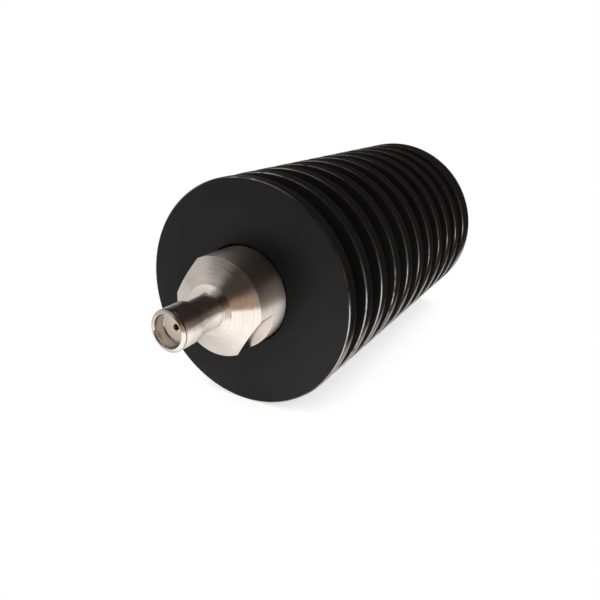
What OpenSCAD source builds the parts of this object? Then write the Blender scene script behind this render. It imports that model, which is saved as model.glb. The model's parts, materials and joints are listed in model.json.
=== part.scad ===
// Coaxial attenuator: a turned heat sink round a resistive card, with a jack at the front
// and a plug with a hex coupling nut at the rear.
// The axis lies along Y and the jack faces -Y. The origin is on the jack's mating plane.

/* [Heat sink] */
// Diameter over the fins
sink_d = 38; // [34:1:46]
// Number of fins, with the thick rear one
fin_count = 11; // [7:1:13]
// Distance from one fin to the next
fin_pitch = 6.1; // [5:0.1:7]
// Thickness of a fin
fin_t = 2.5; // [1.5:0.1:3]
// Thickness of the rear fin
rear_fin_t = 5; // [3:0.5:7]
// Bevel on the rim of each fin
fin_edge = 0.25; // [0.1:0.05:0.5]
// Diameter of the core between the fins
core_d = 23; // [21:0.5:27]
// Radius at the foot of each fin
root_fillet = 0.6; // [0.2:0.1:1]
// Bore that holds the card carrier
bore_d = 14; // [13.6:0.1:14.6]
// Gap round each hub in its recess
recess_gap = 0.3; // [0.2:0.05:0.6]
// Depth of the recess that a hub sits in
seat_depth = 2.6; // [2.2:0.1:4]

/* [End shells] */
// Diameter of the hub
hub_d = 16; // [15.4:0.1:17]
// Length of the full-round collar next to the heat sink
collar_len = 3.3; // [2:0.1:5]
// Length of the wrench flats behind the cone
flat_len = 3.5; // [2:0.1:5]
// Width across the two wrench flats
flat_af = 14; // [12.5:0.5:15]
// Turn of the flats about the axis
flat_turn = 41; // [0:1:90]
// Length of the cone
cone_len = 2; // [1:0.1:4]
// Diameter at the small end of the cone
cone_d = 8.2; // [7.6:0.1:10]
// Length of the spigot inside the heat sink
spigot_len = 7; // [5:0.5:8]
// Bore behind the bead
seat_bore_d = 6; // [5.4:0.1:8]
// Thickness of the seal ring's section
seal_t = 1; // [0.8:0.1:1.2]

/* [Jack] */
// Length from the flange to the tip
barrel_len = 9.4; // [8:0.1:11]
// Length of the full-diameter front section
front_len = 4.1; // [3.4:0.1:5]
// Diameter of the front section
jack_d = 6.35; // [6.2:0.05:6.8]
// Diameter of the relief behind the front section
relief_d = 5.4; // [5:0.1:5.8]
// Fillet at the foot of the relief
relief_fillet = 0.3; // [0.1:0.05:0.5]
// Diameter of the mouth
mouth_d = 4.6; // [4.4:0.05:4.7]
// Depth of the mouth down to the mating plane
mouth_depth = 1.9; // [1.5:0.05:2.4]
// Drop of the bevelled rim
rim_drop = 0.3; // [0.1:0.05:0.5]
// Diameter of the socket in the centre contact
contact_hole_d = 0.94; // [0.92:0.01:0.98]
// Depth of that socket
contact_hole_depth = 3.2; // [2.6:0.1:4]
// Width of the slots between the contact's fingers
finger_slot = 0.14; // [0.08:0.02:0.16]

/* [Line] */
// Inner diameter of the outer conductor
line_d = 4.1; // [3.8:0.05:4.2]
// Outer diameter of the centre conductor
contact_d = 1.27; // [1.2:0.01:1.32]
// Neck of the centre conductor inside the bead
contact_neck_d = 0.9; // [0.7:0.05:1]
// Thickness of the bead that holds the centre conductor
bead_t = 2; // [1.4:0.1:2.6]
// Distance from the heat sink's face out to the bead
bead_at = 1; // [0.4:0.1:2]
// Diameter of the launch pin's shaft
launch_shaft_d = 0.62; // [0.5:0.02:0.7]
// Thickness of the launch pin's blade
blade_t = 0.25; // [0.15:0.05:0.4]
// Width of the launch pin's blade
blade_w = 0.9; // [0.6:0.05:1.1]
// Length of the blade on the card
blade_reach = 2.7; // [1.5:0.1:4]

/* [Plug] */
// Length of the neck under the coupling nut
neck_len = 5.1; // [4.6:0.1:7]
// Diameter of the neck
neck_d = 6.1; // [5.8:0.1:6.2]
// Length of the contact sleeve
sleeve_len = 2.6; // [2.2:0.1:3]
// Outer diameter of the contact sleeve
sleeve_d = 4.57; // [4.5:0.01:4.58]
// Diameter of the centre pin
pin_d = 0.914; // [0.9:0.002:0.94]
// Length of the pin past the mating plane
pin_reach = 1.8; // [1.2:0.1:2.2]
// Thickness of the gasket
gasket_t = 0.7; // [0.4:0.1:1]
// Distance from the flange to the snap ring's middle
ring_at = 2.15; // [1.8:0.05:3]
// Thickness of the snap ring
ring_t = 0.5; // [0.3:0.05:0.6]

/* [Coupling nut] */
// Width across the hex
nut_af = 8; // [7.8:0.1:9]
// Bore at the thread's root
nut_thread_d = 6.4; // [6.3:0.05:6.5]
// Distance that the nut's front stands past the pin
pin_shield = 0.2; // [0.1:0.1:1]

/* [Attenuator card] */
// Width of the ceramic card
card_w = 8; // [7.6:0.1:8.4]
// Thickness of the ceramic card
card_t = 1; // [0.6:0.1:1.5]
// Thickness of the printed films
film_t = 0.05; // [0.02:0.01:0.1]
// Width of the printed line and of the series film
line_film_w = 1.4; // [1.2:0.1:2]
// Length of the printed line at each end
feed_len = 6; // [4.5:0.5:8]
// Width of each ground strip under the cover
ground_w = 1.4; // [1.1:0.1:1.5]
// Number of shunt films
shunt_count = 5; // [3:1:5]
// Width of a shunt film
shunt_w = 1.2; // [0.8:0.1:1.4]
// Number of screws along each side of the cover
screw_rows = 3; // [2:1:3]
// Diameter of the cover screws
screw_d = 1.6; // [1.4:0.1:1.6]
// Length of a cover screw under its head
screw_len = 4; // [3:0.5:4.5]

/* [Clearances] */
// Radial gap of parts that turn
run_gap = 0.05; // [0.03:0.01:0.08]
// Radial gap of parts that are slid together
slide_gap = 0.02; // [0.01:0.01:0.03]
// Free gap between faces that don't touch
free_gap = 0.3; // [0.2:0.05:0.4]

/* [Hidden] */

$fn = 96;
past = 0.1;          // how far a cutter runs past the face that it cuts
small_edge = 0.1;    // bevel on small turned edges

// Distances marked "out" are measured outwards from a heat-sink end face.
cone_out = collar_len + flat_len;
flange_out = cone_out + cone_len;
spigot_in = seat_depth + spigot_len;
tip_out = flange_out + barrel_len;
jack_plane_out = tip_out - mouth_depth;
shoulder_out = flange_out + neck_len;
plug_plane_out = shoulder_out + sleeve_len;
pin_tip_out = plug_plane_out + pin_reach;
bead_rear_out = bead_at - bead_t;

sink_len = (fin_count - 1) * fin_pitch + rear_fin_t;
sink_front = jack_plane_out;
sink_rear = sink_front + sink_len;

hub_r = hub_d / 2;
bore_r = bore_d / 2;
recess_r = hub_r + recess_gap;
spigot_r = bore_r - slide_gap;
seal_groove_depth = 0.8;               // as a share of the seal ring's section
seal_groove_width = 1.3;
seal_floor_r = hub_r - seal_groove_depth * seal_t;
seal_groove = seal_groove_width * seal_t;
seal_out = -seat_depth / 2;

line_r = line_d / 2;
seat_bore_r = seat_bore_d / 2;
contact_r = contact_d / 2;
air_ratio = 2.3;                       // conductor ratio of a 50 ohm line in air
air_line_r = contact_r * air_ratio;
contact_head_len = 5;
contact_end_out = bead_rear_out - contact_head_len;
rear_socket_depth = 3;
slide_room = 0.2;                      // end play of the launch pin
rear_socket_r = launch_shaft_d / 2 + slide_gap;
launch_end_out = free_gap - spigot_in;

carrier_r = bore_r - slide_gap;
carrier_from = sink_front + spigot_in;
carrier_len = sink_len - 2 * spigot_in;
card_from = carrier_from + free_gap;
card_len = carrier_len - 2 * free_gap;
split_z = -blade_t / 2;
card_top = split_z - film_t;
ground_from = card_w / 2 - ground_w;
channel_edge = 0.1;                    // from the channel's wall to the ground strips
channel_r = ground_from - channel_edge;
film_from = card_from + feed_len;
film_len = card_len - 2 * feed_len;

screw_head_r = screw_d * 0.8;
screw_head_t = screw_d * 0.7;
screw_wall = 0.25;                     // from a screw's head to the carrier's side
screw_sunk = 0.1;                      // from a screw's head to the carrier's top
screw_x = carrier_r - screw_head_r - screw_wall;
screw_top_z = sqrt(pow(carrier_r, 2) - pow(screw_x + screw_head_r, 2));
screw_seat_z = screw_top_z - screw_head_t - screw_sunk;
screw_inset = 5;

neck_r = neck_d / 2;
sleeve_r = sleeve_d / 2;
gasket_step = 0.2;                     // lifts the gasket off the sleeve
gasket_seat_r = sleeve_r + gasket_step;
ring_groove_depth = 0.45;
ring_floor_r = neck_r - ring_groove_depth;
ring_out = flange_out + ring_at;
ring_play = 0.1;
ring_groove = ring_t + ring_play;
nut_from = flange_out + free_gap;
nut_to = pin_tip_out + pin_shield;
nut_bore_r = neck_r + run_gap;
nut_thread_r = nut_thread_d / 2;
nut_groove_depth = 0.4;
nut_groove_r = nut_bore_r + nut_groove_depth;
nut_play = 0.7;                        // end play of the nut on its ring
nut_groove = ring_t + nut_play;

function arc(x, y, r, from, to, steps = 5) =
    [for (i = [0:steps]) let (t = from + (to - from) * i / steps) [x + r * cos(t), y + r * sin(t)]];

// A turned solid from points given as [radius, distance along the axis]
module turned(points) {
    rotate([-90, 0, 0]) rotate_extrude() polygon(points);
}

module at_front() {
    translate([0, sink_front, 0]) mirror([0, 1, 0]) children();
}

module at_rear() {
    translate([0, sink_rear, 0]) children();
}

function ring(inner, outer, from, to) = [[inner, from], [outer, from], [outer, to], [inner, to]];

// One fin from foot to rim and back, with its foot fillets where a groove adjoins
function fin_points(i) =
    let (
        from = i * fin_pitch,
        to = from + (i == fin_count - 1 ? rear_fin_t : fin_t),
        rim = sink_d / 2,
        foot = core_d / 2 + root_fillet)
    concat(
        i == 0 ? [] : arc(foot, from - root_fillet, root_fillet, 180, 90),
        [[rim - fin_edge, from], [rim, from + fin_edge], [rim, to - fin_edge], [rim - fin_edge, to]],
        i == fin_count - 1 ? [] : arc(foot, to + root_fillet, root_fillet, 270, 180));

module heat_sink() {
    fins = [for (i = [0:fin_count - 1]) each fin_points(i)];
    bore = [
        [recess_r + small_edge, sink_len], [recess_r, sink_len - small_edge],
        [recess_r, sink_len - seat_depth], [bore_r, sink_len - seat_depth],
        [bore_r, seat_depth], [recess_r, seat_depth],
        [recess_r, small_edge], [recess_r + small_edge, 0]];
    color([0.13, 0.13, 0.14]) translate([0, sink_front, 0]) turned(concat(fins, bore));
}

// Outline of the spigot, the collar with its seal groove, the hub and the cone
hub_points = [
    [spigot_r - small_edge, -spigot_in], [spigot_r, small_edge - spigot_in],
    [spigot_r, -seat_depth], [hub_r, -seat_depth],
    [hub_r, seal_out - seal_groove / 2], [seal_floor_r, seal_out - seal_groove / 2],
    [seal_floor_r, seal_out + seal_groove / 2], [hub_r, seal_out + seal_groove / 2],
    [hub_r, cone_out], [cone_d / 2, flange_out]];

// Outline of the bore from a mating plane inwards to the spigot's end
function bore_points(plane) =
    [[line_r, plane], [line_r, bead_at], [seat_bore_r, bead_at], [seat_bore_r, -spigot_in]];

module wrench_flats() {
    for (side = [0, 180])
        rotate([0, flat_turn + side, 0])
            translate([flat_af / 2, collar_len, -hub_r])
                cube([hub_r, flat_len + cone_len + past, 2 * hub_r]);
}

module jack_shell() {
    jack_r = jack_d / 2;
    relief_r = relief_d / 2;
    mouth_r = mouth_d / 2;
    lead = 0.15;
    step = jack_r - relief_r;
    front_out = tip_out - front_len;
    barrel = concat(
        arc(relief_r + relief_fillet, flange_out + relief_fillet, relief_fillet, 270, 180),
        [[relief_r, front_out - step / 2], [jack_r, front_out],
         [jack_r, tip_out - rim_drop - small_edge], [jack_r - small_edge, tip_out - rim_drop],
         [mouth_r + lead, tip_out], [mouth_r, tip_out - lead], [mouth_r, jack_plane_out]]);
    color([0.72, 0.69, 0.65]) at_front() difference() {
        turned(concat(hub_points, barrel, bore_points(jack_plane_out)));
        wrench_flats();
    }
}

// Dielectric tube from a mating plane back to the bead
module dielectric(plane) {
    color([0.93, 0.91, 0.86])
        turned(ring(contact_r + slide_gap, line_r - slide_gap, bead_at, plane));
}

module jack_dielectric() at_front() dielectric(jack_plane_out);

// Outline of a centre conductor behind the dielectric: neck, head and rear socket
contact_tail = [
    [contact_r, bead_at], [contact_neck_d / 2, bead_at],
    [contact_neck_d / 2, bead_rear_out], [contact_r, bead_rear_out],
    [contact_r, contact_end_out], [rear_socket_r, contact_end_out],
    [rear_socket_r, contact_end_out + rear_socket_depth],
    [0, contact_end_out + rear_socket_depth]];

module jack_contact() {
    hole_r = contact_hole_d / 2;
    hole_out = jack_plane_out - contact_hole_depth;
    lead = 0.06;
    slot_short = 0.4;
    slot_depth = contact_hole_depth - slot_short;
    color([0.83, 0.66, 0.33]) at_front() difference() {
        turned(concat(
            [[0, hole_out], [hole_r, hole_out], [hole_r, jack_plane_out - lead],
             [hole_r + lead, jack_plane_out], [contact_r, jack_plane_out]],
            contact_tail));
        for (turn = [0, 90])
            rotate([0, turn, 0])
                translate([-contact_r - past, jack_plane_out - slot_depth, -finger_slot / 2])
                    cube([2 * (contact_r + past), slot_depth + past, finger_slot]);
    }
}

// Bead with the side slot that lets it snap over the conductor's neck
module bead() {
    hole_r = contact_neck_d / 2 + slide_gap;
    color([0.87, 0.76, 0.5]) difference() {
        turned(ring(hole_r, seat_bore_r - slide_gap, bead_rear_out, bead_at));
        translate([-hole_r, bead_rear_out - past, 0])
            cube([2 * hole_r, bead_t + 2 * past, seat_bore_r]);
    }
}

module jack_bead() at_front() bead();

// Outer conductor of the air line, which also holds the bead in its seat
module bushing() {
    color([0.8, 0.72, 0.5])
        turned(ring(air_line_r, seat_bore_r - slide_gap, -spigot_in, bead_rear_out));
}

module jack_bushing() at_front() bushing();

// Sliding pin from a centre conductor to the card, with a flat blade
module launch_pin() {
    shaft_r = launch_shaft_d / 2;
    shaft_out = contact_end_out + rear_socket_depth - slide_room;
    body_out = contact_end_out - slide_room;
    blade_from = -spigot_in - free_gap - blade_reach;
    color([0.83, 0.66, 0.33]) {
        turned([[0, shaft_out], [shaft_r, shaft_out], [shaft_r, body_out],
            [contact_r, body_out], [contact_r, launch_end_out], [0, launch_end_out]]);
        translate([-blade_w / 2, blade_from, -blade_t / 2])
            cube([blade_w, launch_end_out + past - blade_from, blade_t]);
    }
}

module jack_launch_pin() at_front() launch_pin();

module o_ring() {
    ring_r = seal_floor_r + seal_t / 2 + slide_gap;
    color([0.07, 0.07, 0.07]) translate([0, seal_out, 0])
        rotate([-90, 0, 0]) rotate_extrude() translate([ring_r, 0]) circle(d = seal_t, $fn = 48);
}

module jack_o_ring() at_front() o_ring();

module carrier_blank() {
    translate([0, carrier_from, 0])
        turned([[0, 0], [carrier_r - small_edge, 0], [carrier_r, small_edge],
            [carrier_r, carrier_len - small_edge], [carrier_r - small_edge, carrier_len],
            [0, carrier_len]]);
}

module at_screws() {
    for (i = [0:screw_rows - 1], side = [-1, 1])
        translate([side * screw_x,
            carrier_from + screw_inset + i * (carrier_len - 2 * screw_inset) / (screw_rows - 1), 0])
            children();
}

// Everything above or below the plane where the carrier is split
module half_space(below) {
    translate([-bore_r, carrier_from - past, below ? split_z - bore_d : split_z])
        cube([bore_d, carrier_len + 2 * past, bore_d]);
}

module carrier_base() {
    pocket_w = card_w + 2 * slide_gap;
    hole_z = screw_seat_z - screw_len - free_gap;
    color([0.78, 0.74, 0.62]) difference() {
        carrier_blank();
        half_space(false);
        translate([-pocket_w / 2, carrier_from - past, card_top - card_t])
            cube([pocket_w, carrier_len + 2 * past, bore_r]);
        at_screws() translate([0, 0, hole_z]) cylinder(r = screw_d / 2 + slide_gap, h = bore_r);
    }
}

module carrier_cover() {
    color([0.78, 0.74, 0.62]) difference() {
        carrier_blank();
        half_space(true);
        translate([0, carrier_from - past, 0]) rotate([-90, 0, 0])
            cylinder(r = channel_r, h = carrier_len + 2 * past);
        at_screws() {
            translate([0, 0, split_z - past]) cylinder(r = screw_d / 2 + run_gap, h = bore_r);
            translate([0, 0, screw_seat_z]) cylinder(r = screw_head_r + run_gap, h = bore_r);
        }
    }
}

module carrier_screws() {
    socket_af = screw_d * 0.9;
    socket_depth = screw_head_t * 0.5;
    color([0.6, 0.6, 0.62]) at_screws() difference() {
        union() {
            translate([0, 0, screw_seat_z - screw_len]) cylinder(d = screw_d, h = screw_len + past);
            translate([0, 0, screw_seat_z]) cylinder(r = screw_head_r, h = screw_head_t);
        }
        translate([0, 0, screw_seat_z + screw_head_t - socket_depth])
            cylinder(d = socket_af / cos(30), h = socket_depth + past, $fn = 6);
    }
}

module substrate() {
    color([0.9, 0.9, 0.86]) translate([-card_w / 2, card_from, card_top - card_t])
        cube([card_w, card_len, card_t]);
}

// Printed line at each end and a ground strip along each side
module conductor_film() {
    color([0.8, 0.7, 0.45]) translate([0, 0, card_top]) linear_extrude(film_t) {
        for (from = [card_from, card_from + card_len - feed_len])
            translate([-line_film_w / 2, from]) square([line_film_w, feed_len]);
        for (from = [-card_w / 2, ground_from])
            translate([from, card_from]) square([ground_w, card_len]);
    }
}

// Series film along the card, crossed by the shunt films that reach the ground strips
module resistor_film() {
    color([0.12, 0.12, 0.13]) translate([0, 0, card_top]) linear_extrude(film_t) {
        translate([-line_film_w / 2, film_from]) square([line_film_w, film_len]);
        for (i = [0:shunt_count - 1])
            translate([-ground_from, film_from + (i + 0.5) * film_len / shunt_count - shunt_w / 2])
                square([2 * ground_from, shunt_w]);
    }
}

module plug_launch_pin() at_rear() launch_pin();

module plug_bushing() at_rear() bushing();

module plug_bead() at_rear() bead();

module plug_contact() {
    pin_r = pin_d / 2;
    nose = 0.4;
    color([0.83, 0.66, 0.33]) at_rear()
        turned(concat(
            [[0, pin_tip_out], [pin_r / 2, pin_tip_out], [pin_r, pin_tip_out - nose],
             [pin_r, plug_plane_out], [contact_r, plug_plane_out]],
            contact_tail));
}

module plug_dielectric() at_rear() dielectric(plug_plane_out);

module plug_shell() {
    neck = [
        [neck_r, flange_out],
        [neck_r, ring_out - ring_groove / 2], [ring_floor_r, ring_out - ring_groove / 2],
        [ring_floor_r, ring_out + ring_groove / 2], [neck_r, ring_out + ring_groove / 2],
        [neck_r, shoulder_out], [gasket_seat_r, shoulder_out],
        [gasket_seat_r, shoulder_out + gasket_t], [sleeve_r, shoulder_out + gasket_t],
        [sleeve_r, plug_plane_out - small_edge], [sleeve_r - small_edge, plug_plane_out]];
    color([0.72, 0.69, 0.65]) at_rear() difference() {
        turned(concat(hub_points, neck, bore_points(plug_plane_out)));
        wrench_flats();
    }
}

module plug_o_ring() at_rear() o_ring();

module snap_ring() {
    inner = ring_floor_r + run_gap;
    outer = nut_groove_r - run_gap;
    ring_gap = 1.2;
    color([0.62, 0.62, 0.6]) at_rear() difference() {
        turned(ring(inner, outer, ring_out - ring_t / 2, ring_out + ring_t / 2));
        translate([-ring_gap / 2, ring_out - ring_t, 0]) cube([ring_gap, 2 * ring_t, nut_groove_r]);
    }
}

module coupling_nut() {
    corner_r = nut_af / 2 / cos(30);
    end_r = nut_af / 2 - small_edge;
    bevel = (corner_r - end_r) * tan(30);
    thread_from = shoulder_out + free_gap;
    lead = 0.25;
    color([0.72, 0.69, 0.65]) at_rear() difference() {
        intersection() {
            translate([0, nut_from, 0]) rotate([-90, 0, 0])
                cylinder(r = corner_r, h = nut_to - nut_from, $fn = 6);
            turned([[0, nut_from], [end_r, nut_from], [corner_r + past, nut_from + bevel],
                [corner_r + past, nut_to - bevel], [end_r, nut_to], [0, nut_to]]);
        }
        turned([[0, nut_from - past], [nut_bore_r, nut_from - past],
            [nut_bore_r, ring_out - nut_groove / 2], [nut_groove_r, ring_out - nut_groove / 2],
            [nut_groove_r, ring_out + nut_groove / 2], [nut_bore_r, ring_out + nut_groove / 2],
            [nut_bore_r, thread_from], [nut_thread_r, thread_from],
            [nut_thread_r, nut_to - lead], [nut_thread_r + lead, nut_to],
            [nut_thread_r + lead, nut_to + past], [0, nut_to + past]]);
    }
}

module plug_gasket() {
    color([0.75, 0.3, 0.2]) at_rear()
        turned(ring(gasket_seat_r + slide_gap, neck_r - small_edge,
            shoulder_out, shoulder_out + gasket_t));
}

heat_sink();
jack_shell();
jack_dielectric();
jack_contact();
jack_bead();
jack_bushing();
jack_launch_pin();
jack_o_ring();
carrier_base();
carrier_cover();
carrier_screws();
substrate();
conductor_film();
resistor_film();
plug_launch_pin();
plug_bushing();
plug_bead();
plug_contact();
plug_dielectric();
plug_shell();
plug_o_ring();
snap_ring();
coupling_nut();
plug_gasket();
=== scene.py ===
import json
import math

import bmesh
import bpy
from mathutils import Matrix, Vector


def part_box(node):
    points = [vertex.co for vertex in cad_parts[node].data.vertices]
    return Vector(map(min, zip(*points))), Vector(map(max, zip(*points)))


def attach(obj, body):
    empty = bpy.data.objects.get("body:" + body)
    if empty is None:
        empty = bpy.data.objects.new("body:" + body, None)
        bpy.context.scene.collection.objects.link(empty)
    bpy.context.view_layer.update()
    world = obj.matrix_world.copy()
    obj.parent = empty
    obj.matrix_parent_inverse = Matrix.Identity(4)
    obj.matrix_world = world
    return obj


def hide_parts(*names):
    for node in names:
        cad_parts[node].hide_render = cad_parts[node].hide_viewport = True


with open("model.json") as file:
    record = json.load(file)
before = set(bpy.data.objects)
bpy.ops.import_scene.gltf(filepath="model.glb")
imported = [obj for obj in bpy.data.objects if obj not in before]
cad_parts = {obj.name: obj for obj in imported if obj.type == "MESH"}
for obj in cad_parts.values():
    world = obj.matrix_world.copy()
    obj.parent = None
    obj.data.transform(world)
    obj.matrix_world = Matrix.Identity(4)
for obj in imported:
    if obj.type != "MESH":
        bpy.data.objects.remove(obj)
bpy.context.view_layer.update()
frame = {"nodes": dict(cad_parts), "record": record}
mm = 0.001
print("stage: frame loaded")


# where a node starts and ends along the axis and how far it reaches from it, in millimetres
def span(node):
    low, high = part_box(node)
    return low[1] / mm, high[1] / mm, high[0] / mm


sinkFront, sinkRear, sinkRadius = span("heat_sink")
sinkMiddle = (sinkFront + sinkRear) / 2

# lengths in this and the other pieces' dictionaries are in millimetres
heatSink = {
    "finCount": 11,
    "finPitch": 6.1,
    "finThickness": 2.5,     # all but the rear fin, which reaches the bar's end
    "coreRadius": 11.5,
    "rimBevel": 0.25,
    "rimRound": 0.12,
    "rimShare": 0.9,         # how much of the bevel takes the rim's finish
    "footFillet": 0.6,
    "boreRadius": 7.0,
    "recessRadius": 8.3,
    "recessDepth": 2.6,
    "recessRound": 0.12,
    "boreRound": 0.05,
    "pointsAround": 216,
    "weld": 0.001,           # joins the fins' edges in the grooves
    "sharpAngle": 50.0,
}


# a number socket that takes part in plain arithmetic
class Wire:
    def __init__(self, sheet, socket):
        self.sheet = sheet
        self.socket = socket

    def __add__(self, other):
        return self.sheet.math("ADD", self, other)

    def __radd__(self, other):
        return self.sheet.math("ADD", other, self)

    def __sub__(self, other):
        return self.sheet.math("SUBTRACT", self, other)

    def __rsub__(self, other):
        return self.sheet.math("SUBTRACT", other, self)

    def __mul__(self, other):
        return self.sheet.math("MULTIPLY", self, other)

    def __rmul__(self, other):
        return self.sheet.math("MULTIPLY", other, self)

    def __pow__(self, other):
        return self.sheet.math("POWER", self, other)

    def __abs__(self):
        return self.sheet.math("ABSOLUTE", self)


# the node tree of a material or of the world
class Sheet:
    def __init__(self, owner):
        owner.use_nodes = True
        self.tree = owner.node_tree
        self.tree.nodes.clear()

    def add(self, kind, settings=None, values=None):
        node = self.tree.nodes.new(kind)
        for key, value in (settings or {}).items():
            if key == "ramp":
                stops = node.color_ramp.elements
                for stop, (place, colour) in zip(stops, value):
                    stop.position = place
                    stop.color = (*colour, 1)
            else:
                setattr(node, key, value)
        for key, value in (values or {}).items():
            if isinstance(value, Wire):
                self.tree.links.new(value.socket, node.inputs[key])
            else:
                node.inputs[key].default_value = value
        return node

    def wire(self, node, key):
        return Wire(self, node.outputs[key])

    def get(self, kind, key, settings=None, values=None):
        return self.wire(self.add(kind, settings, values), key)

    def math(self, operation, *values):
        return self.get("ShaderNodeMath", 0, {"operation": operation}, dict(enumerate(values)))

    # goes smoothly from 0 at the low value to 1 at the high one
    def rise(self, value, low, high):
        return self.get("ShaderNodeMapRange", 0, {"interpolation_type": "SMOOTHSTEP"}, {
            0: value, 1: low, 2: high})

    # 1 between two edges, each the start and end of a soft step, in millimetres
    def within(self, value, near, far):
        return (self.rise(0 - value, -far[1] * mm, -far[0] * mm)
                * self.rise(value, near[0] * mm, near[1] * mm))

    def noise(self, place, scale, detail, roughness):
        return self.get("ShaderNodeTexNoise", "Fac", {}, {
            "Vector": place, "Scale": scale, "Detail": detail, "Roughness": roughness})

    # relief of a height given in metres
    def bump(self, height):
        return self.get("ShaderNodeBump", "Normal", {}, {
            "Height": height, "Strength": 1.0, "Distance": 1.0})

    # from the look's dark tone to its light one
    def tone(self, shade, look, low=0.3, high=0.7):
        return self.get("ShaderNodeValToRGB", "Color", {
            "ramp": [(low, look["dark"]), (high, look["light"])]}, {"Fac": shade})

    # the first colour, or the second one where the amount is 1
    def mixed(self, amount, first, second):
        node = self.add("ShaderNodeMix", {"data_type": "RGBA"}, {0: amount})
        for socket, value in ((node.inputs[6], first), (node.inputs[7], second)):
            if isinstance(value, Wire):
                self.tree.links.new(value.socket, socket)
            else:
                socket.default_value = (*value, 1)
        return Wire(self, node.outputs[2])


def newSurface(name):
    material = bpy.data.materials.new(name)
    return material, Sheet(material)


# the place, its distance from the axis, its distance along it, and the point of these two
def axisCoordinates(sheet):
    place = sheet.get("ShaderNodeTexCoord", "Object")
    parts = sheet.add("ShaderNodeSeparateXYZ", {}, {0: place})
    x, along, z = (sheet.wire(parts, key) for key in "XYZ")
    radius = (x * x + z * z) ** 0.5
    station = sheet.get("ShaderNodeCombineXYZ", 0, {}, {"X": radius, "Y": along})
    return place, radius, along, station


def finishSurface(material, sheet, values):
    shader = sheet.get("ShaderNodeBsdfPrincipled", 0, {}, values)
    sheet.add("ShaderNodeOutputMaterial", {}, {"Surface": shader})
    return material


# lathe lines run round the axis, and the matt and the lathed zone scatter the light more
def turnedMetal(name, ownLook):
    look = {**turning, **ownLook}
    material, sheet = newSurface(name)
    place, radius, along, station = axisCoordinates(sheet)
    fine = sheet.noise(station, look["fineLines"], detail=1.0, roughness=0.5)
    coarse = sheet.noise(station, look["coarseLines"], detail=2.0, roughness=0.6)
    cloud = sheet.noise(place, look["clouds"], detail=4.0, roughness=0.6)
    mattFrom = look["mattFrom"] * mm
    matt = sheet.rise(radius, mattFrom, mattFrom + look["mattBlend"] * mm)
    lathed = (sheet.within(radius, *look["lathedRadii"])
              * sheet.within(along, *look["lathedStretch"]))
    deeper = 1 + matt * look["mattDepth"] + lathed * look["lathedDepth"]
    out = abs(along - sinkMiddle * mm)
    lean = matt * look["mattLean"] + lathed * look["lathedLean"]    # tips the reflections
    lines = fine * look["fineDepth"] + coarse * look["coarseDepth"]
    colour = sheet.tone(cloud * 0.5 + coarse * 0.5, look)
    rough = (look["roughness"] + (cloud - 0.5) * look["roughSpread"]
             + matt * look["mattRoughness"] + lathed * look["lathedRoughness"])
    return finishSurface(material, sheet, {
        "Base Color": sheet.mixed(matt * look["mattDark"], colour, look["mattTint"]),
        "Metallic": 1.0, "Roughness": rough, "Normal": sheet.bump(lines * deeper - out * lean)})


# cutter lines run along the axis
def milledMetal(name, ownLook):
    look = {**milling, **ownLook}
    material, sheet = newSurface(name)
    place = sheet.get("ShaderNodeTexCoord", "Object")
    stretched = sheet.get("ShaderNodeMapping", 0, {}, {
        "Vector": place, "Scale": (look["across"], look["along"], look["across"])})
    lines = sheet.noise(stretched, 1.0, detail=3.0, roughness=0.6)
    cloud = sheet.noise(place, look["clouds"], detail=3.0, roughness=0.5)
    rough = look["roughness"] + (lines - 0.5) * look["roughSpread"]
    return finishSurface(material, sheet, {
        "Base Color": sheet.tone(cloud, look), "Metallic": 1.0, "Roughness": rough,
        "Normal": sheet.bump(lines * look["lineDepth"])})


def anodisedBlack(name, ownLook):
    look = {**anodising, **ownLook}
    material, sheet = newSurface(name)
    place, radius, along, station = axisCoordinates(sheet)
    lines = sheet.noise(station, look["lines"], detail=2.0, roughness=0.6)
    grain = sheet.noise(place, look["grain"], detail=3.0, roughness=0.7)
    cloud = sheet.noise(place, look["clouds"], detail=4.0, roughness=0.5)
    colour = sheet.tone(cloud, look, low=0.35, high=0.65)
    values = {
        "Base Color": colour, "Specular IOR Level": look["specular"],
        "Roughness": look["roughness"] + (cloud - 0.5) * look["roughSpread"],
        "Normal": sheet.bump(lines * look["lineDepth"] + grain * look["grainDepth"])}
    if "worn" in look:
        wear = wornEdge(sheet, place, grain, radius, along, look["worn"])
        values["Metallic"] = sheet.rise(wear, *look["worn"]["metalEdge"])
        values["Base Color"] = sheet.mixed(wear, colour, look["worn"]["bare"])
    return finishSurface(material, sheet, values)


# how bare the metal is along the two edges of each fin's rim
def wornEdge(sheet, place, grain, radius, along, worn):
    half, reach = heatSink["finThickness"] / 2, heatSink["finPitch"] / 2 * mm
    step = sheet.math("WRAP", along - (sinkFront + half) * mm, -reach, reach)
    gap = abs(abs(step) - half * mm)
    rearFin = sheet.rise(along, *((sinkRear - behind) * mm for behind in worn["rearFin"]))
    gap = gap * (1 - rearFin) + abs(along - sinkRear * mm) * rearFin
    edge = 1 - sheet.rise(gap, worn["width"] * mm, worn["width"] * 2 * mm)
    top = sheet.rise(radius, *((sinkRadius - under) * mm for under in worn["top"]))
    patch = sheet.noise(place, worn["patches"], detail=3.0, roughness=0.7)
    patch = sheet.rise(patch, *worn["patchEdge"])
    return edge * top * sheet.rise(grain, *worn["grainEdge"]) * patch * worn["amount"]


def mouldedSurface(name, ownLook):
    look = {**moulding, **ownLook}
    material, sheet = newSurface(name)
    place = sheet.get("ShaderNodeTexCoord", "Object")
    grain = sheet.noise(place, look["grain"], detail=3.0, roughness=0.6)
    return finishSurface(material, sheet, {
        "Base Color": sheet.tone(grain, look), "Metallic": look["metallic"],
        "Roughness": look["roughness"] + (grain - 0.5) * look["roughSpread"],
        "Normal": sheet.bump(grain * look["grainDepth"])})


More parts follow.
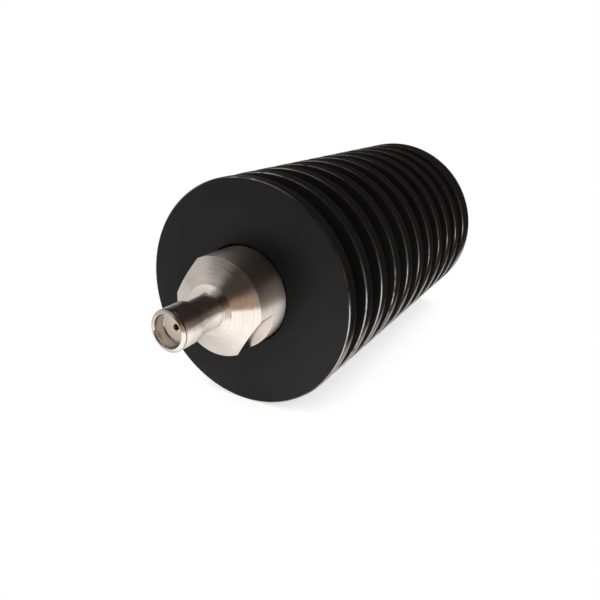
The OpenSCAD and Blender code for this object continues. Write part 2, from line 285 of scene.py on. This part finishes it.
# what the finishes of one kind share, unless a finish's own look says otherwise
turning = {
    "roughSpread": 0.08,
    "fineLines": 20000.0,    # scales of noise are per metre, and depths of relief in metres
    "coarseLines": 3200.0,
    "clouds": 420.0,
    "mattFrom": 100.0,       # radius in millimetres, out of reach where there is no matt zone
    "mattBlend": 0.02,
    "mattDepth": 0.0,
    "mattRoughness": 0.0,
    "mattLean": 0.0,
    "mattDark": 0.0,
    "mattTint": (0.11, 0.1, 0.088),
    "lathedRadii": ((2.6, 2.65), (3.4, 3.5)),       # the jack's barrel and relief
    "lathedStretch": ((-1.6, -1.4), (7.2, 7.4)),
    "lathedDepth": 0.0,
    "lathedRoughness": 0.0,
    "lathedLean": 0.0,
}

milling = {
    "across": 12000.0,
    "along": 700.0,
    "clouds": 300.0,
    "roughSpread": 0.08,
}

moulding = {
    "metallic": 0.0,
    "roughSpread": 0.1,
}

anodising = {
    "dark": (0.0045, 0.0045, 0.0048),
    "light": (0.007, 0.007, 0.0074),
    "grain": 9000.0,
    "clouds": 70.0,
}

wornRims = {
    "rearFin": (4.0, 3.9),   # from here to the rear face only the rear edge is worn
    "width": 0.13,
    "top": (0.22, 0.15),     # in from the rim
    "patches": 160.0,        # wear comes and goes with these patches and with the grain
    "patchEdge": (0.34, 0.46),
    "grainEdge": (0.25, 0.5),
    "amount": 0.85,
    "metalEdge": (0.0, 0.2),
    "bare": (0.55, 0.5, 0.455),
}

surfaces = {
    "black_anodised": anodisedBlack("blackAnodised", {
        "roughness": 0.46, "roughSpread": 0.12, "specular": 0.22,
        "lines": 5200.0, "lineDepth": 2.0e-6, "grainDepth": 3.0e-6}),
    "rim_anodised": anodisedBlack("rimAnodised", {
        "roughness": 0.22, "roughSpread": 0.1, "specular": 0.55,
        "lines": 14000.0, "lineDepth": 1.6e-6, "grainDepth": 1.0e-6,
        "worn": wornRims}),
    "turned_steel": turnedMetal("turnedSteel", {
        "dark": (0.58, 0.525, 0.475), "light": (0.7, 0.64, 0.585), "roughness": 0.13,
        "fineLines": 26000.0, "fineDepth": 7.5e-6, "coarseDepth": 2.5e-6,
        "mattFrom": 7.97, "mattDepth": 0.5, "mattRoughness": 0.17, "mattLean": 0.6,
        "mattDark": 0.3, "lathedDepth": 1.4, "lathedRoughness": 0.12, "lathedLean": 0.2}),
    "milled_steel": milledMetal("milledSteel", {
        "dark": (0.58, 0.53, 0.48), "light": (0.7, 0.64, 0.59),
        "roughness": 0.28, "lineDepth": 1.2e-5}),
    "nut_steel": turnedMetal("nutSteel", {
        "dark": (0.57, 0.54, 0.51), "light": (0.69, 0.66, 0.63),
        "roughness": 0.24, "roughSpread": 0.1, "fineDepth": 4.0e-6, "coarseDepth": 1.5e-6}),
    "gold_plate": turnedMetal("goldPlate", {
        "dark": (0.8, 0.62, 0.34), "light": (0.92, 0.76, 0.46), "roughness": 0.22,
        "coarseLines": 4000.0, "fineDepth": 3.0e-6, "coarseDepth": 1.0e-6}),
    "white_dielectric": mouldedSurface("whiteDielectric", {
        "dark": (0.74, 0.64, 0.55), "light": (0.86, 0.76, 0.67),
        "roughness": 0.5, "grain": 5000.0, "grainDepth": 3.0e-6}),
    "bead_plastic": mouldedSurface("beadPlastic", {
        "dark": (0.55, 0.33, 0.1), "light": (0.68, 0.44, 0.16),
        "roughness": 0.4, "grain": 4000.0, "grainDepth": 2.0e-6}),
    "plated_brass": turnedMetal("platedBrass", {
        "dark": (0.62, 0.5, 0.28), "light": (0.76, 0.62, 0.38),
        "roughness": 0.3, "fineDepth": 4.0e-6, "coarseDepth": 2.0e-6}),
    "black_rubber": mouldedSurface("blackRubber", {
        "dark": (0.012, 0.012, 0.012), "light": (0.02, 0.02, 0.02),
        "roughness": 0.65, "grain": 6000.0, "grainDepth": 5.0e-6}),
    "plated_aluminium": milledMetal("platedAluminium", {
        "dark": (0.62, 0.6, 0.53), "light": (0.74, 0.72, 0.64),
        "roughness": 0.3, "lineDepth": 3.0e-6}),
    "screw_steel": turnedMetal("screwSteel", {
        "dark": (0.42, 0.42, 0.43), "light": (0.55, 0.55, 0.56),
        "roughness": 0.28, "fineDepth": 3.0e-6, "coarseDepth": 1.0e-6}),
    "card_ceramic": mouldedSurface("cardCeramic", {
        "dark": (0.68, 0.68, 0.64), "light": (0.8, 0.8, 0.76),
        "roughness": 0.45, "grain": 8000.0, "grainDepth": 2.0e-6}),
    "gold_film": mouldedSurface("goldFilm", {
        "dark": (0.66, 0.45, 0.16), "light": (0.82, 0.6, 0.27), "metallic": 1.0,
        "roughness": 0.38, "grain": 9000.0, "grainDepth": 3.0e-6}),
    "resistor_film": mouldedSurface("resistorFilm", {
        "dark": (0.015, 0.015, 0.017), "light": (0.03, 0.03, 0.033),
        "roughness": 0.5, "grain": 9000.0, "grainDepth": 3.0e-6}),
    "spring_steel": turnedMetal("springSteel", {
        "dark": (0.36, 0.35, 0.33), "light": (0.5, 0.49, 0.47),
        "roughness": 0.3, "fineDepth": 3.0e-6, "coarseDepth": 1.0e-6}),
    "gasket_rubber": mouldedSurface("gasketRubber", {
        "dark": (0.3, 0.06, 0.03), "light": (0.42, 0.1, 0.055),
        "roughness": 0.6, "grain": 5000.0, "grainDepth": 4.0e-6}),
}

# the CAD nodes that stay take their finishes from the record's slots
for entry in frame["record"]["subparts"]:
    meshData = frame["nodes"][entry["node"]].data
    meshData.materials.clear()
    meshData.materials.append(surfaces[entry["material_slot"]])
print("stage: surfaces written")


rounding = {
    "steps": 3,
    "straight": math.radians(172),   # a corner flatter than this is left as it is
    "share": 0.45,                   # of each side that a rounding may take up at most
}


# the outline with its corners rounded, each point being (radius, along, size of its rounding)
def softened(outline, closed=True):
    result = []
    count = len(outline)
    for i, (*point, size) in enumerate(outline):
        here = Vector(point)
        back = Vector(outline[i - 1][:2]) - here
        ahead = Vector(outline[(i + 1) % count][:2]) - here
        loose = not closed and i in (0, count - 1)
        if loose or size == 0 or back.angle(ahead) > rounding["straight"]:
            result.append(tuple(here))
            continue
        turn = back.angle(ahead)
        most = rounding["share"] * min(back.length, ahead.length)
        reach = min(size / math.tan(turn / 2), most)
        back.normalize()
        ahead.normalize()
        start, stop = here + back * reach, here + ahead * reach
        middle = here + (back + ahead).normalized() * reach / math.cos(turn / 2)
        first, last = start - middle, stop - middle
        for step in range(rounding["steps"] + 1):
            mix = step / rounding["steps"]
            arm = (first * (1 - mix) + last * mix).normalized() * first.length
            result.append(tuple(middle + arm))
    return result


# places every ring's points evenly
def roundRing(steps):
    angles = [2 * math.pi * i / steps for i in range(steps)]

    def place(radius, along):
        return [(radius * math.cos(a), radius * math.sin(a), False) for a in angles]
    return place


# places a ring's points round flats cut at a distance from the axis, where zone says "cut"
def cutRing(p, flats, turn, widest, zone):
    distance, perFlat, perRound = p["flatDistance"], p["pointsPerFlat"], p["pointsPerRound"]
    smallest = math.radians(p["smallestHalf"])
    largest = math.acos(distance / widest)

    def place(radius, along):
        state = zone(radius, along)
        deep = state == "cut" and radius * math.cos(smallest) > distance
        half = largest if state == "behind" else smallest
        if deep:
            half = math.acos(distance / radius)
        points = []
        for k in range(flats):
            centre = turn + 2 * math.pi * k / flats
            for j in range(perFlat):
                off = half * (2 * j / perFlat - 1)
                reach = distance / math.cos(off) if deep else radius
                angle = centre + off
                points.append((reach * math.cos(angle), reach * math.sin(angle), deep))
            span = 2 * math.pi / flats - 2 * half
            for j in range(perRound):
                angle = centre + half + span * j / perRound
                points.append((radius * math.cos(angle), radius * math.sin(angle), False))
        return points
    return place


# a mesh turned about Y from an outline of (radius, along) in millimetres
def turnedMesh(name, outline, place, closed=True):
    rings = [place(radius, along) for radius, along in outline]
    size = len(rings[0])
    vertices = [(x * mm, along * mm, z * mm)
                for ring, (radius, along) in zip(rings, outline) for x, z, cut in ring]
    faces, slots = [], []
    last = len(outline) if closed else len(outline) - 1
    for i in range(last):
        j = (i + 1) % len(outline)
        for k in range(size):
            n = (k + 1) % size
            faces.append((i * size + k, i * size + n, j * size + n, j * size + k))
            slots.append(1 if rings[i][k][2] and rings[j][k][2] else 0)
    data = bpy.data.meshes.new(name)
    data.from_pydata(vertices, [], faces)
    for polygon, slot in zip(data.polygons, slots):
        polygon.material_index = slot
    return data


mergeDistance = 1e-7


# merges doubles, turns the faces outwards and smooths all but the edges sharper than an angle
def cleanMesh(data, sharp):
    work = bmesh.new()
    work.from_mesh(data)
    bmesh.ops.remove_doubles(work, verts=work.verts, dist=mergeDistance)
    bmesh.ops.dissolve_degenerate(work, edges=work.edges, dist=mergeDistance)
    bmesh.ops.recalc_face_normals(work, faces=work.faces)
    work.to_mesh(data)
    work.free()
    for polygon in data.polygons:
        polygon.use_smooth = True
    data.set_sharp_from_angle(angle=math.radians(sharp))


def putInScene(name, data):
    piece = bpy.data.objects.new(name, data)
    bpy.context.scene.collection.objects.link(piece)
    return piece


# the second finish is for the faces that are cut flat, or for the rims
def addPiece(name, data, body, slot, *nodes, secondFinish=None):
    piece = putInScene(name, data)
    data.materials.clear()
    data.materials.append(surfaces[slot])
    if secondFinish:
        data.materials.append(surfaces[secondFinish])
    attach(piece, body)
    if nodes:
        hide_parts(*nodes)


# a Geometry Nodes tree with named inputs, with its input and output nodes
def newTree(name, **inputs):
    tree = bpy.data.node_groups.new(name, "GeometryNodeTree")
    for label, kind in inputs.items():
        tree.interface.new_socket(label, in_out="INPUT", socket_type="NodeSocket" + kind)
    tree.interface.new_socket("Geometry", in_out="OUTPUT", socket_type="NodeSocketGeometry")
    return tree, tree.nodes.new("NodeGroupInput"), tree.nodes.new("NodeGroupOutput")


def addNodes(tree, *kinds):
    return [tree.nodes.new(kind) for kind in kinds]


def joinUp(tree, *links):
    for start, output, end, entry in links:
        tree.links.new(start.outputs[output], end.inputs[entry])


# the plain mesh that a Geometry Nodes tree makes of an object
def grown(holder, tree, values):
    modifier = holder.modifiers.new(tree.name, "NODES")
    modifier.node_group = tree
    for item in tree.interface.items_tree:
        if item.in_out == "INPUT" and item.name in values:
            modifier[item.identifier] = values[item.name]
    bpy.context.view_layer.update()
    graph = bpy.context.evaluated_depsgraph_get()
    data = bpy.data.meshes.new_from_object(holder.evaluated_get(graph))
    holder.modifiers.remove(modifier)
    return data


# one fin, from the core in front of it to the core behind it
def finOutline(start, thickness, p, before, after):
    rim, foot, bevel, edge = sinkRadius, p["coreRadius"], p["rimBevel"], p["rimRound"]
    end = start + thickness
    points = []
    if before is not None:
        points += [(foot, before, 0), (foot, start, p["footFillet"])]
    points += [(rim - bevel, start, edge), (rim, start + bevel, edge),
               (rim, end - bevel, edge), (rim - bevel, end, edge)]
    if after is not None:
        points += [(foot, end, p["footFillet"]), (foot, after, 0)]
    return points


# copies the fin along the bar and welds the row to the two ends
def finRowTree(p):
    tree, source, result = newTree("finRow", Geometry="Geometry", Fin="Object", Count="Int",
                                   Pitch="Float", Finish="Material")
    fin, row, step, copies, joined, solid, merged, finish = addNodes(
        tree, "GeometryNodeObjectInfo", "GeometryNodeMeshLine", "ShaderNodeCombineXYZ",
        "GeometryNodeInstanceOnPoints", "GeometryNodeJoinGeometry",
        "GeometryNodeRealizeInstances", "GeometryNodeMergeByDistance", "GeometryNodeSetMaterial")
    merged.inputs["Distance"].default_value = p["weld"] * mm
    joinUp(tree,
           (source, "Fin", fin, "Object"), (source, "Count", row, "Count"),
           (source, "Pitch", step, "Y"), (step, 0, row, "Offset"),
           (row, 0, copies, "Points"), (fin, "Geometry", copies, "Instance"),
           (source, "Geometry", joined, 0), (copies, 0, joined, 0),
           (joined, 0, solid, 0), (solid, 0, merged, 0), (merged, 0, finish, "Geometry"),
           (source, "Finish", finish, "Material"), (finish, 0, result, 0))
    return tree


def makeHeatSink(p):
    pitch, thickness, around = p["finPitch"], p["finThickness"], roundRing(p["pointsAround"])
    groove = (pitch - thickness) / 2
    firstMiddle = sinkFront + thickness + groove
    lastStart = sinkFront + (p["finCount"] - 1) * pitch
    bore, recess, depth = p["boreRadius"], p["recessRadius"], p["recessDepth"]
    rear = finOutline(lastStart, sinkRear - lastStart, p, lastStart - groove, None)
    hole = [(recess, sinkRear, p["recessRound"]), (recess, sinkRear - depth, p["boreRound"]),
            (bore, sinkRear - depth, p["boreRound"]), (bore, sinkFront + depth, p["boreRound"]),
            (recess, sinkFront + depth, p["boreRound"]), (recess, sinkFront, p["recessRound"])]
    front = finOutline(sinkFront, thickness, p, None, firstMiddle)
    fin = finOutline(sinkFront + pitch, thickness, p, firstMiddle, firstMiddle + pitch)
    finShape, ends = (
        putInScene(name, turnedMesh(name, softened(outline, closed=False), around, closed=False))
        for name, outline in (("finShape", fin), ("sinkEnds", rear + hole + front)))
    data = grown(ends, finRowTree(p), {
        "Fin": finShape, "Count": p["finCount"] - 2, "Pitch": pitch * mm,
        "Finish": surfaces["black_anodised"]})
    bpy.data.objects.remove(finShape)
    bpy.data.objects.remove(ends)
    cleanMesh(data, p["sharpAngle"])
    addPiece("finnedHeatSink", data, "housing", "black_anodised", "heat_sink",
             secondFinish="rim_anodised")
    rim = (sinkRadius - p["rimShare"] * p["rimBevel"]) * mm
    for polygon in data.polygons:
        corners = (data.vertices[index].co for index in polygon.vertices)
        if min(math.hypot(corner.x, corner.z) for corner in corners) > rim:
            polygon.material_index = 1


makeHeatSink(heatSink)
print("stage: heat sink turned")

# stations are measured outwards from the heat sink's face, for both shells
shell = {
    "hubRadius": 8.0,
    "collarLength": 3.3,
    "flatLength": 3.5,
    "coneLength": 2.0,
    "coneRadius": 4.1,
    "coneRings": 9,          # they crowd towards the hub, where the flats cut the cone
    "coneCrowding": 1.6,
    "outerRing": 0.02,       # in from the hub
    "innerRing": 1.006,      # times the distance of the flats
    "flatDistance": 7.0,
    "flatTurn": -35.0,
    "flatStep": 0.0005,      # along, between the ring behind the flats and the cut one
    "pointsPerFlat": 24,
    "pointsPerRound": 72,
    "smallestHalf": 6.0,     # half the angle that a flat's points take where nothing is cut
    "evenRadius": 4.05,      # inside it the points ignore the flats
    "spigotRadius": 6.98,
    "spigotEnd": 9.6,
    "seat": 2.6,
    "sealFloor": 7.2,
    "sealHalf": 0.65,
    "lineRadius": 2.05,
    "beadAt": 1.0,
    "beadBore": 3.0,
    "hubRound": 0.1,
    "sealRound": 0.03,
    "hubEdgeRound": 0.04,
    "coneEdgeRound": 0.06,
    "lineRound": 0.02,
    "sharpAngle": 30.0,
}

barrel = {
    "tip": 18.2,
    "frontLength": 4.1,
    "radius": 3.175,
    "reliefRadius": 2.7,
    "mouthRadius": 2.3,
    "mouthDepth": 1.9,
    "rimDrop": 0.36,
    "rimRound": 0.09,
    "lead": 0.26,            # how much wider the mouth is at the tip
    "flareDepth": 1.0,
    "flareBend": (0.3, 0.4),    # shares of the lead and of the flare's depth
    "flareRound": 1.2,
    "flangeFillet": 0.15,
    "stepRound": 0.05,
    "edgeRound": 0.06,
    "floorRound": 0.03,
}

neck = {
    "radius": 3.05,
    "ringOut": 10.95,
    "ringHalf": 0.3,
    "ringFloor": 2.6,
    "shoulder": 13.9,
    "gasket": 0.7,
    "seatRadius": 2.485,
    "sleeveRadius": 2.285,
    "plane": 16.5,
    "tipChamfer": 0.1,
    "flangeFillet": 0.1,
    "grooveRound": 0.02,
    "edgeRound": 0.06,
    "tipRound": 0.03,
}


def flangeAt(p):
    return p["collarLength"] + p["flatLength"] + p["coneLength"]


# spigot, collar and cone
def hubOutline(p):
    hub, cone, seal = p["hubRadius"], p["collarLength"] + p["flatLength"], -p["seat"] / 2
    floor, half = p["sealFloor"], p["sealHalf"]
    widest, narrowest = hub - p["outerRing"], p["flatDistance"] * p["innerRing"]
    rings = [widest - (widest - narrowest) * (i / p["coneRings"]) ** p["coneCrowding"]
             for i in range(p["coneRings"] + 1)]
    slope = p["coneLength"] / (hub - p["coneRadius"])
    return [
        (p["spigotRadius"], -p["spigotEnd"], p["hubRound"]), (p["spigotRadius"], -p["seat"], 0),
        (hub, -p["seat"], p["hubRound"]), (hub, seal - half, p["sealRound"]),
        (floor, seal - half, 0), (floor, seal + half, 0), (hub, seal + half, p["sealRound"]),
        (hub, p["collarLength"], 0), (hub, p["collarLength"] + p["flatStep"], 0),
        (hub, cone, p["hubEdgeRound"]), *((r, cone + (hub - r) * slope, 0) for r in rings),
        (p["coneRadius"], flangeAt(p), p["coneEdgeRound"])]


# the hole down the middle, from its mouth to the end of the spigot
def boreOutline(p, mouth):
    return [(p["lineRadius"], mouth, p["lineRound"]), (p["lineRadius"], p["beadAt"], 0),
            (p["beadBore"], p["beadAt"], 0), (p["beadBore"], -p["spigotEnd"], 0)]


def makeShell(name, node, outline, p, face, outwards):
    def zone(radius, out):
        if radius < p["evenRadius"] or out > flangeAt(p):
            return "front"
        return "cut" if out > p["collarLength"] + p["flatStep"] / 2 else "behind"

    place = cutRing(p, 2, math.radians(p["flatTurn"]), p["hubRadius"], zone)
    data = turnedMesh(name, softened(outline), place)
    data.transform(Matrix.Translation((0, face * mm, 0)) @ Matrix.Diagonal((1, outwards, 1, 1)))
    cleanMesh(data, p["sharpAngle"])
    addPiece(name, data, "housing", "turned_steel", node, secondFinish="milled_steel")


def makeJackShell(p, b):
    tip, mouth, lead = b["tip"], b["mouthRadius"], b["lead"]
    front, floor = tip - b["frontLength"], tip - b["mouthDepth"]
    step = (b["radius"] - b["reliefRadius"]) / 2
    leadShare, depthShare = b["flareBend"]
    makeShell("jackShell", "jack_shell", hubOutline(p) + [
        (b["reliefRadius"], flangeAt(p), b["flangeFillet"]),
        (b["reliefRadius"], front - step, b["stepRound"]), (b["radius"], front, b["edgeRound"]),
        (b["radius"], tip - b["rimDrop"], b["rimRound"]), (mouth + lead, tip, b["edgeRound"]),
        (mouth + leadShare * lead, tip - depthShare * b["flareDepth"], b["flareRound"]),
        (mouth, tip - b["flareDepth"], b["flareRound"]), (mouth, floor, b["floorRound"])
    ] + boreOutline(p, floor), p, sinkFront, -1)


def makePlugShell(p, n):
    ringStart, ringEnd = n["ringOut"] - n["ringHalf"], n["ringOut"] + n["ringHalf"]
    seat, sleeve, tip, chamfer = n["seatRadius"], n["sleeveRadius"], n["plane"], n["tipChamfer"]
    makeShell("plugShell", "plug_shell", hubOutline(p) + [
        (n["radius"], flangeAt(p), n["flangeFillet"]), (n["radius"], ringStart, n["grooveRound"]),
        (n["ringFloor"], ringStart, 0), (n["ringFloor"], ringEnd, 0),
        (n["radius"], ringEnd, n["grooveRound"]), (n["radius"], n["shoulder"], n["edgeRound"]),
        (seat, n["shoulder"], 0), (seat, n["shoulder"] + n["gasket"], 0),
        (sleeve, n["shoulder"] + n["gasket"], 0), (sleeve, tip - chamfer, n["tipRound"]),
        (sleeve - chamfer, tip, n["tipRound"])
    ] + boreOutline(p, tip), p, sinkRear, 1)


makeJackShell(shell, barrel)
makePlugShell(shell, neck)
print("stage: end shells turned")

# stations are measured outwards from the heat sink's rear face
nut = {
    "from": 9.1,
    "to": 18.5,
    "flatDistance": 4.0,
    "pointsPerFlat": 10,
    "pointsPerRound": 8,
    "smallestHalf": 4.0,
    "endRadius": 3.9,
    "cornerRadius": 4.58,
    "bevelRings": (4.03, 4.06, 4.1, 4.16, 4.24, 4.34, 4.45),
    "bevelAngle": 30.0,
    "boreRadius": 3.1,
    "grooveRadius": 3.5,
    "grooveFrom": 10.35,
    "grooveTo": 11.55,
    "endRound": 0.03,
    "boreRound": 0.05,
    "sharpAngle": 30.0,
    "threadFrom": 14.2,
    "threadRadius": 3.2,
    "threadPitch": 0.7056,
    "threadDepth": 0.34,
    "threadSink": 0.02,      # puts the ridge's middle inside the wall
    "turnSteps": 60,
    "ridgeSides": 4,
    "lead": 0.25,
}


def makeNut(p):
    start, stop, end, edge = p["from"], p["to"], p["endRadius"], p["endRound"]
    bore, thread, groove, lead = p["boreRadius"], p["threadRadius"], p["grooveRadius"], p["lead"]
    slope = math.tan(math.radians(p["bevelAngle"]))
    bevel = [(r, (r - end) * slope) for r in (*p["bevelRings"], p["cornerRadius"])]
    outline = [
        (end, start, edge), *((r, start + drop, 0) for r, drop in bevel),
        *((r, stop - drop, 0) for r, drop in reversed(bevel)), (end, stop, edge),
        (thread + lead, stop, edge), (thread, stop - lead, edge), (thread, p["threadFrom"], 0),
        (bore, p["threadFrom"], 0), (bore, p["grooveTo"], 0), (groove, p["grooveTo"], 0),
        (groove, p["grooveFrom"], 0), (bore, p["grooveFrom"], 0), (bore, start, p["boreRound"])]

    def zone(radius, out):
        return "cut" if radius > end else "front"

    place = cutRing(p, 6, 0.0, p["cornerRadius"], zone)
    data = turnedMesh("couplingNut", softened(outline), place)
    data.transform(Matrix.Translation((0, sinkRear * mm, 0)))
    cleanMesh(data, p["sharpAngle"])
    addPiece("couplingNut", data, "nut", "nut_steel", "coupling_nut", secondFinish="nut_steel")


# a ridge swept along a helix and laid along Y
def threadTree(p):
    tree, source, result = newTree("threadRidge", Radius="Float", Turns="Float", Length="Float",
                                   Ridge="Float", Start="Vector", Finish="Material")
    helix, upright, section, ridge, laid, solid, finish = addNodes(
        tree, "GeometryNodeCurveSpiral", "GeometryNodeSetCurveNormal",
        "GeometryNodeCurvePrimitiveCircle", "GeometryNodeCurveToMesh", "GeometryNodeTransform",
        "GeometryNodeRealizeInstances", "GeometryNodeSetMaterial")
    helix.inputs["Resolution"].default_value = p["turnSteps"]
    upright.mode = "Z_UP"
    section.inputs["Resolution"].default_value = p["ridgeSides"]
    ridge.inputs["Fill Caps"].default_value = True
    laid.inputs["Rotation"].default_value = (-math.pi / 2, 0, 0)
    joinUp(tree,
           (source, "Radius", helix, "Start Radius"), (source, "Radius", helix, "End Radius"),
           (source, "Turns", helix, "Rotations"), (source, "Length", helix, "Height"),
           (source, "Ridge", section, "Radius"), (helix, 0, upright, 0),
           (upright, 0, ridge, "Curve"), (section, 0, ridge, "Profile Curve"),
           (ridge, 0, laid, "Geometry"), (source, "Start", laid, "Translation"),
           (laid, 0, solid, 0), (solid, 0, finish, "Geometry"),
           (source, "Finish", finish, "Material"), (finish, 0, result, 0))
    return tree


def makeNutThread(p):
    start = p["threadFrom"] + p["threadPitch"]
    length = p["to"] - p["lead"] - p["threadDepth"] - start
    holder = putInScene("threadStart", bpy.data.meshes.new("threadStart"))
    data = grown(holder, threadTree(p), {
        "Radius": (p["threadRadius"] + p["threadSink"]) * mm, "Turns": length / p["threadPitch"],
        "Length": length * mm, "Ridge": p["threadDepth"] * mm,
        "Start": (0, (sinkRear + start) * mm, 0), "Finish": surfaces["nut_steel"]})
    bpy.data.objects.remove(holder)
    cleanMesh(data, p["sharpAngle"])
    addPiece("nutThread", data, "nut", "nut_steel")


makeNut(nut)
makeNutThread(nut)
print("stage: coupling nut made")

camera = {
    "azimuth": 30.56,
    "elevation": 15.91,
    "right": 7.71,           # its place from the middle of the heat sink's front face,
    "up": 5.80,              # along its own axes, in millimetres
    "back": 96.69,
    "focalPixels": 597.5,
    "centre": (291.0, 258.0),
    "frame": 600.0,
    "sensor": 36.0,
    "clip": (0.005, 50),
}


def placeCamera(p):
    turn, tilt = math.radians(p["azimuth"]), math.radians(p["elevation"])
    right = Vector((math.cos(turn), math.sin(turn), 0))
    level = Vector((-math.sin(turn), math.cos(turn), 0))
    forward = level * math.cos(tilt) - Vector((0, 0, math.sin(tilt)))
    up = level * math.sin(tilt) + Vector((0, 0, math.cos(tilt)))
    face = Vector((0, sinkFront, 0))
    spot = (face + right * p["right"] + up * p["up"] - forward * p["back"]) * mm
    data = bpy.data.cameras.new("camera")
    data.sensor_width = p["sensor"]
    data.lens = p["sensor"] * p["focalPixels"] / p["frame"]
    data.shift_x = (p["frame"] / 2 - p["centre"][0]) / p["frame"]
    data.shift_y = (p["centre"][1] - p["frame"] / 2) / p["frame"]
    data.clip_start, data.clip_end = p["clip"]
    holder = putInScene("camera", data)
    turned = Matrix((right, up, -forward)).transposed().to_4x4()
    holder.matrix_world = Matrix.Translation(spot) @ turned
    bpy.context.scene.camera = holder


placeCamera(camera)

# lengths in metres
floorSheet = {
    "corners": [(-0.3, -0.075), (0.1, -0.075), (0.1, 0.03), (0.3, 0.03), (0.3, 0.12),
                (0.1, 0.12), (0.09, 0.042), (0.04, 0.03), (0.021, 0.034), (0.021, 0.4),
                (-0.3, 0.4)],
    "colour": (0.8, 0.8, 0.8),
    "glow": 0.6,
    "mirrored": 0.8,         # strength in a mirror, beside the pool of light
    "pool": (-0.015, 0.012),
    "poolLean": 0.9,
    "poolGlow": 0.75,
    "fade": (0.010, 0.021),  # away from under the object, past which all is white
}

# an edge is where a soft step starts and ends, on x, y or z of the direction looked in
studio = {
    "plain": (1.0, 1.0, 1.0),       # what lights a matt surface
    "front": (0.07, 0.06, 0.055),   # the dim room that metal mirrors, on the left in front
    "back": (0.035, 0.03, 0.029),   # and the rest of it
    "acrossEdge": (-0.5, 0.1),
    "aboveEdge": (0.42, 0.6),
    "low": (0.5, 0.36, 0.27),       # warm glow low on the right
    "lowEdges": ((-0.1, 0.2), (0.2, 0.6), (-0.14, -0.02)),
    "mirroredBackdrop": 0.7,        # the white backdrop as metal mirrors it, on the left
    "backdropEdges": ((0.16, 0.42), (-0.85, -0.6), (-0.54, -0.36)),
    "lamps": (
        {"colour": (0.29, 0.3, 0.33), "towards": (-0.2, -0.46, 0.86), "edge": (0.945, 0.985)},
        {"colour": (1.2, 1.18, 1.15), "towards": (-0.56, -0.32, 0.765), "edge": (0.955, 0.985)},
        {"colour": (0.27, 0.235, 0.21), "towards": (0.95, 0.1, 0.14), "edge": (0.9, 0.96)}),
}
white = (1, 1, 1, 1)


# what the camera sees, what mirrors and glass show, and what lights matt surfaces
def lightRays(sheet):
    ray = sheet.add("ShaderNodeLightPath")
    seen, glossy, through, diffuse = (sheet.wire(ray, "Is %s Ray" % kind) for kind in (
        "Camera", "Glossy", "Transmission", "Diffuse"))
    return seen, sheet.math("MAXIMUM", glossy, through), diffuse


def makeFloor(p):
    data = bpy.data.meshes.new("floor")
    corners = [(x, y, -sinkRadius * mm) for x, y in p["corners"]]
    data.from_pydata(corners, [], [tuple(range(len(corners)))])
    floor = putInScene("floor", data)
    material, sheet = newSurface("paleFloor")
    place = sheet.get("ShaderNodeTexCoord", "Object")
    parts = sheet.add("ShaderNodeSeparateXYZ", {}, {0: place})
    x, y = sheet.wire(parts, "X"), sheet.wire(parts, "Y")
    beyond = sheet.math("MAXIMUM", abs(y - sinkMiddle * mm) - (sinkRear - sinkMiddle) * mm, 0.0)
    fade = sheet.rise((x * x + beyond * beyond) ** 0.5, *p["fade"])
    seen, mirrored = lightRays(sheet)[:2]
    pool = sheet.rise((x - y) * p["poolLean"], *p["pool"])
    strength = seen + mirrored * (p["mirrored"] + pool * p["poolGlow"])
    matt = sheet.get("ShaderNodeBsdfDiffuse", 0, {}, {"Color": (*p["colour"], 1)})
    glow = sheet.get("ShaderNodeEmission", 0, {}, {"Color": white, "Strength": strength * p["glow"]})
    lit = sheet.get("ShaderNodeAddShader", 0, {}, {0: matt, 1: glow})
    blank = sheet.get("ShaderNodeEmission", 0, {}, {"Color": white, "Strength": strength})
    either = sheet.get("ShaderNodeMixShader", 0, {}, {
        0: fade * (seen + mirrored), 1: lit, 2: blank})
    sheet.add("ShaderNodeOutputMaterial", {}, {"Surface": either})
    material.cycles.emission_sampling = "NONE"
    data.materials.append(material)


def makeWorld(p):
    world = bpy.data.worlds.new("studio")
    bpy.context.scene.world = world
    sheet = Sheet(world)
    look = sheet.get("ShaderNodeTexCoord", "Generated")
    parts = sheet.add("ShaderNodeSeparateXYZ", {}, {0: look})
    x, y, z = (sheet.wire(parts, key) for key in "XYZ")
    leftX, leftY, leftZ = p["backdropEdges"]
    left = sheet.rise(0 - x, *leftX) * sheet.rise(0 - y, *leftY) * sheet.rise(0 - z, *leftZ)
    lowX, lowY, lowZ = p["lowEdges"]
    low = sheet.rise(0 - z, *lowZ) * sheet.rise(x, *lowX) * sheet.rise(0 - y, *lowY)
    dim = sheet.math("MAXIMUM", sheet.rise(x + y, *p["acrossEdge"]),
                     sheet.rise(z, *p["aboveEdge"]))
    colour = sheet.mixed(dim, p["front"], p["back"])
    colour = sheet.mixed(low, colour, p["low"])
    for lamp in p["lamps"]:
        near = sheet.get("ShaderNodeVectorMath", "Value", {"operation": "DOT_PRODUCT"}, {
            0: look, 1: Vector(lamp["towards"]).normalized()})
        colour = sheet.mixed(sheet.rise(near, *lamp["edge"]), colour, lamp["colour"])
    seen, mirrored, diffuse = lightRays(sheet)
    colour = sheet.mixed(diffuse, colour, p["plain"])
    around = sheet.get("ShaderNodeBackground", 0, {}, {"Color": colour, "Strength": 1.0})
    blank = sheet.get("ShaderNodeBackground", 0, {}, {"Color": white, "Strength": 1.0})
    shown = sheet.math("MAXIMUM", seen, mirrored * left * p["mirroredBackdrop"])
    either = sheet.get("ShaderNodeMixShader", 0, {}, {0: shown, 1: around, 2: blank})
    sheet.add("ShaderNodeOutputWorld", {}, {"Surface": either})
    world.cycles.sampling_method = "NONE"


makeFloor(floorSheet)
makeWorld(studio)
bpy.context.scene.view_settings.view_transform = "Standard"
print("stage: studio ready")
